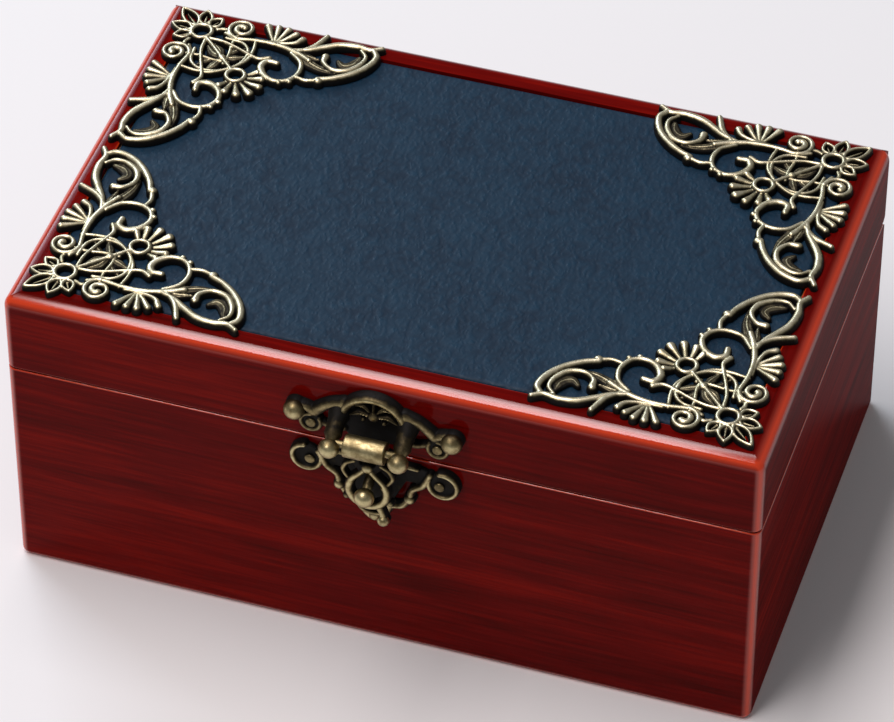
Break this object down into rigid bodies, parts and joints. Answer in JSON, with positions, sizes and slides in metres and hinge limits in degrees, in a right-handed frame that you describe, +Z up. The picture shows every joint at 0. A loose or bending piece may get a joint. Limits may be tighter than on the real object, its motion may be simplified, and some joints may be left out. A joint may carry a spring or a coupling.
{
  "type": "music box",
  "caption": "Lidded wooden music box with a leather-faced lid, pierced brass corner ornaments, a drop hasp, a jewellery tray and a pinned-cylinder movement.",
  "frame": {"origin": "centre of the underside, on the surface that the box stands on", "axes": "+X along the front to the right as one faces it, +Y to the back where the hinges are, +Z up"},
  "size_m": [0.158, 0.1107, 0.0736],
  "materials": {
    "mahogany": "high-gloss lacquer over dark red mahogany",
    "inner_wood": "planed softwood and plywood, unfinished",
    "leather": "fine pebbled dark teal leather",
    "antique_brass": "cast and darkened, rubbed bright on the high parts",
    "bright_brass": "polished",
    "gilt_casting": "gilt zinc casting, satin",
    "steel": "ground tool steel",
    "chrome": "bright plating",
    "velvet": "dark red velvet",
    "felt": "dark green felt",
    "mirror": "silvered glass with a bevelled edge",
    "clear_plastic": "clear acrylic sheet",
    "nylon": "natural nylon"
  },
  "bodies": {
    "case": {"case_front_board": "mahogany", "case_right_board": "mahogany", "case_back_board": "mahogany", "case_left_board": "mahogany", "bottom_panel": "inner_wood", "floor_batten_left": "inner_wood", "floor_batten_right": "inner_wood", "inner_floor": "inner_wood", "partition_board": "inner_wood", "cover_ledges": "inner_wood", "stop_rod_guide": "inner_wood", "keeper_plate": "antique_brass", "keeper_nails": "antique_brass", "hinge_case_leaf_left": "bright_brass", "hinge_case_leaf_right": "bright_brass", "hinge_pins": "bright_brass", "hinge_case_screws": "bright_brass", "bedplate": "gilt_casting", "spring_housing": "gilt_casting", "cylinder_bearing": "gilt_casting", "governor_frame": "gilt_casting", "comb": "steel", "comb_screws": "steel", "mainspring": "steel", "movement_screws": "steel", "velvet_wall_lining": "velvet", "tray_cushion": "velvet", "felt_sole": "felt", "movement_cover": "clear_plastic"},
    "lid": {"lid_front_rail": "mahogany", "lid_right_rail": "mahogany", "lid_back_rail": "mahogany", "lid_left_rail": "mahogany", "lid_panel": "inner_wood", "leather_inlay": "leather", "lid_lining": "velvet", "lid_mirror": "mirror", "hinge_lid_leaf_left": "bright_brass", "hinge_lid_leaf_right": "bright_brass", "hinge_lid_screws": "bright_brass", "hasp_upper_plate": "antique_brass", "hasp_pin": "antique_brass", "hasp_upper_nails": "antique_brass", "ornament_front_left": "antique_brass", "ornament_front_right": "antique_brass", "ornament_back_right": "antique_brass", "ornament_back_left": "antique_brass"},
    "hasp": {"hasp_flap": "antique_brass"},
    "cylinder": {"pinned_cylinder": "bright_brass", "cylinder_arbor": "steel", "cylinder_pinion": "bright_brass", "cylinder_gear": "bright_brass"},
    "drive_wheel": {"drive_gear": "steel"},
    "key": {"winding_arbor": "steel", "winding_key": "bright_brass"},
    "first_wheel": {"governor_first_wheel": "bright_brass"},
    "worm_wheel": {"governor_worm_wheel": "nylon"},
    "fan": {"governor_worm": "steel", "governor_fan": "chrome"},
    "stop": {"stop_rod": "steel"}
  },
  "joints": [
    {"name": "lid_hinge", "type": "hinge", "parent": "case", "child": "lid", "pos_m": [0, 0.0473, 0.053], "axis": [-1, 0, 0], "range_deg": [0, 95]},
    {"name": "hasp_swing", "type": "hinge", "parent": "lid", "child": "hasp", "pos_m": [0, -0.057, 0.0591], "axis": [-1, 0, 0], "range_deg": [0, 120]},
    {"name": "cylinder_spin", "type": "hinge", "parent": "case", "child": "cylinder", "pos_m": [-0.0525, 0.009, 0.03043], "axis": [0, 1, 0], "continuous": true},
    {"name": "drive_wheel_spin", "type": "hinge", "parent": "case", "child": "drive_wheel", "pos_m": [-0.0525, -0.015, 0.025], "axis": [0, 0, 1], "continuous": true},
    {"name": "key_wind", "type": "hinge", "parent": "drive_wheel", "child": "key", "pos_m": [-0.0525, -0.015, 0.01], "axis": [0, 0, 1], "continuous": true},
    {"name": "first_wheel_spin", "type": "hinge", "parent": "case", "child": "first_wheel", "pos_m": [-0.06247, 0.021, 0.02868], "axis": [0, 1, 0], "continuous": true},
    {"name": "worm_wheel_spin", "type": "hinge", "parent": "case", "child": "worm_wheel", "pos_m": [-0.05847, 0.023, 0.0356], "axis": [0, 1, 0], "continuous": true},
    {"name": "fan_spin", "type": "hinge", "parent": "case", "child": "fan", "pos_m": [-0.05217, 0.0238, 0.035], "axis": [0, 0, 1], "continuous": true},
    {"name": "stop_rod_slide", "type": "slide", "parent": "case", "child": "stop", "axis": [0, 0, 1], "range_m": [0, 0.0022]}
  ],
  "couplings": [
    {"joint": "drive_wheel_spin", "follows": "cylinder_spin", "ratio": 0.33333},
    {"joint": "first_wheel_spin", "follows": "cylinder_spin", "ratio": -4},
    {"joint": "worm_wheel_spin", "follows": "cylinder_spin", "ratio": 16},
    {"joint": "fan_spin", "follows": "cylinder_spin", "ratio": 384},
    {"joint": "stop_rod_slide", "follows": "lid_hinge", "m_per_rad": 0.0013268}
  ]
}
